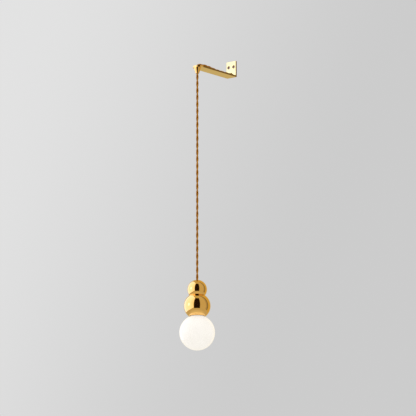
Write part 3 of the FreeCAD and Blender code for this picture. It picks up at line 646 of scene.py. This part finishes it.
finish_nodes(circuit_board(), "lamp_driver")

# ---- globe -------------------------------------------------------------------------------------
# Blown opal glass globe with a satin surface and a round neck hole, lit from inside.  It is
# glued to the collar and hangs just under the large ball's rim.
GLOBE_Z = -0.79583
GLOBE_RADIUS = 0.0500
GLOBE_WALL = 0.0015
GLOBE_NECK_RADIUS = 0.0160


def opal_glass():
    """White opal glass: faint cloudiness, a satin skin and an even glow."""
    material, add, give = start_material("opal_glass")
    stops = [(0.3, (0.48, 0.465, 0.435)), (0.7, (0.53, 0.52, 0.495))]
    give("Base Color", shades(add, mottle(add, 34.0, 4.0), stops))
    give("Roughness", 0.33)
    give("Specular IOR Level", 0.4)
    give("Emission Color", (1.0, 0.95, 0.875, 1.0))
    give("Emission Strength", 0.57)
    relief(add, give, mottle(add, 1900.0), 0.000006)
    return material


def straight_down(radius):
    """A globe's bottom is closed, so at any radius it ends straight under its centre."""
    return -math.pi / 2


globe_profile = hollow_ball(
    GLOBE_Z, GLOBE_RADIUS, GLOBE_WALL, GLOBE_NECK_RADIUS, straight_down, steps=120
)
opal_globe = new_piece("opal_globe", lathe(globe_profile, sides=192), opal_glass())
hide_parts("lamp_globe")
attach(opal_globe, "lamp")

# ---- floor -------------------------------------------------------------------------------------
# Plain pale painted floor, a little over a metre below the lamp.  The brass doesn't mirror it,
# because the studio round the light already has a floor for that.
FLOOR_Z = -2.0
FLOOR_REACH = 9.0
floor_mesh = bpy.data.meshes.new("floor")
floor_sides = ((-1, -1), (1, -1), (1, 1), (-1, 1))
floor_corners = [(x * FLOOR_REACH, y * FLOOR_REACH, FLOOR_Z) for x, y in floor_sides]
floor_mesh.from_pydata(floor_corners, [], [(0, 1, 2, 3)])
floor = bpy.data.objects.new("floor", floor_mesh)
bpy.context.scene.collection.objects.link(floor)
floor_paint, add, give = start_material("floor_paint")
stops = [(0.3, (0.715, 0.715, 0.715)), (0.7, (0.725, 0.725, 0.725))]
give("Base Color", shades(add, mottle(add, 2.0, 4.0), stops))
give("Roughness", 0.8)
floor_mesh.materials.append(floor_paint)
floor.visible_glossy = False

# ---- studio ------------------------------------------------------------------------------------
# A large white wall on the left, a dark gap round the camera and a dim, warm right-hand side,
# which the polished brass shows.  The light on matt surfaces is even, and a grey backdrop fades
# from left to right.
studio = bpy.data.worlds.new("studio")
bpy.context.scene.world = studio
studio.use_nodes = True
studio.node_tree.nodes.clear()
put = node_adder(studio.node_tree)


def edge(value, low, high):
    """0 at one limit and 1 at the other, with a soft change between."""
    return ranged(put, value, low, high, change="SMOOTHSTEP")


def both(a, b):
    """1 where both masks are."""
    return sums(put, "MULTIPLY", a, b)


def between(value, low, high, soft):
    """1 between two limits and 0 outside them, with soft edges."""
    return both(edge(value, low - soft, low + soft), edge(value, high + soft, high - soft))


def laid_over(under, amount, over):
    """One colour laid over another, as far as the amount says."""
    under, over = [(*c, 1.0) if isinstance(c, tuple) else c for c in (under, over)]
    colours = {"Factor": amount, "A": under, "B": over}
    return put("ShaderNodeMix", colours, data_type="RGBA").outputs["Result"]


def grey(tone):
    """A colour without a hue."""
    return (tone, tone, tone)


def level(turn):
    """A level direction, turned this far to the right from the way to the camera."""
    angle = VIEW_YAW + turn
    return (math.sin(angle), -math.cos(angle), 0.0)


look = put("ShaderNodeTexCoord").outputs["Generated"]


def along_look(direction):
    """How far a look in any direction goes along this one."""
    made = put("ShaderNodeVectorMath", {0: look, 1: direction}, operation="DOT_PRODUCT")
    return made.outputs["Value"]


camera_right = level(math.pi / 2)
across = along_look(camera_right)
up = put("ShaderNodeSeparateXYZ", {"Vector": look}).outputs["Z"]
bearing = sums(put, "ARCTAN2", across, along_look(level(0.0)))

# what the brass mirrors at eye level: a warm tone all round, and upright bands on the right,
# each between two bearings, in radians to the right of the camera
mirrored = (0.58, 0.51, 0.24)
for left, right, soft, colour in (
    (0.45, 1.45, 0.05, (0.60, 0.53, 0.35)),
    (1.45, 1.72, 0.08, (0.42, 0.36, 0.26)),
    (1.72, 1.90, 0.06, (0.16, 0.14, 0.09)),
    (1.95, 3.02, 0.12, (0.66, 0.48, 0.13)),
):
    mirrored = laid_over(mirrored, between(bearing, left, right, soft), colour)

# the studio's floor, paler towards its middle
mirrored = laid_over(mirrored, edge(up, -0.33, -0.39), (0.58, 0.53, 0.38))
mirrored = laid_over(mirrored, edge(up, -0.55, -0.90), (0.76, 0.72, 0.58))

# the white wall and the lamp's glare on it; heights and lengths are shares of its distance
WALL_BEARING = math.radians(-80)
towards_wall = along_look(level(WALL_BEARING))
wall_side = edge(towards_wall, 0.04, 0.06)
wall_height = sums(put, "DIVIDE", up, towards_wall)
wall_length = sums(
    put, "DIVIDE", along_look(level(WALL_BEARING + math.pi / 2)), towards_wall
)
white_wall = both(
    between(wall_height, -0.49, 3.0, soft=0.02), between(wall_length, -2.8, 1.12, soft=0.02)
)
wall_white = laid_over((1.48, 1.47, 1.75), edge(wall_length, 0.0, 0.8), (1.24, 1.22, 1.22))
mirrored = laid_over(mirrored, both(wall_side, white_wall), wall_white)
lamp_glare = both(
    between(wall_height, 0.04, 0.34, soft=0.10), between(wall_length, -0.12, 0.20, soft=0.10)
)
mirrored = laid_over(mirrored, both(wall_side, lamp_glare), (1.35, 2.1, 3.5))

# the dark gap in which the camera stands
dark_gap = both(
    between(bearing, -0.50, 0.45, soft=0.012), between(up, -0.43, 0.90, soft=0.012)
)
mirrored = laid_over(mirrored, dark_gap, (0.016, 0.008, 0.004))

# the light on matt surfaces, a little dimmer from the right and from below
even_light = laid_over(grey(1.00), edge(across, -0.9, 0.9), grey(0.84))
even_light = laid_over(even_light, edge(up, 0.1, -0.9), grey(0.72))

# the backdrop, which darkens to the right and a little downwards
backdrop_slope = along_look((camera_right[0], camera_right[1], -0.4))
backdrop = laid_over(grey(0.765), edge(backdrop_slope, -0.184, -0.019), grey(0.605))

ray = put("ShaderNodeLightPath").outputs
seen = laid_over(even_light, ray["Is Glossy Ray"], mirrored)
seen = laid_over(seen, ray["Is Transmission Ray"], backdrop)
seen = laid_over(seen, ray["Is Camera Ray"], backdrop)
background = put("ShaderNodeBackground", {"Color": seen, "Strength": 1.0})
put("ShaderNodeOutputWorld", {"Surface": background.outputs["Background"]})

bpy.context.scene.view_settings.view_transform = "Standard"
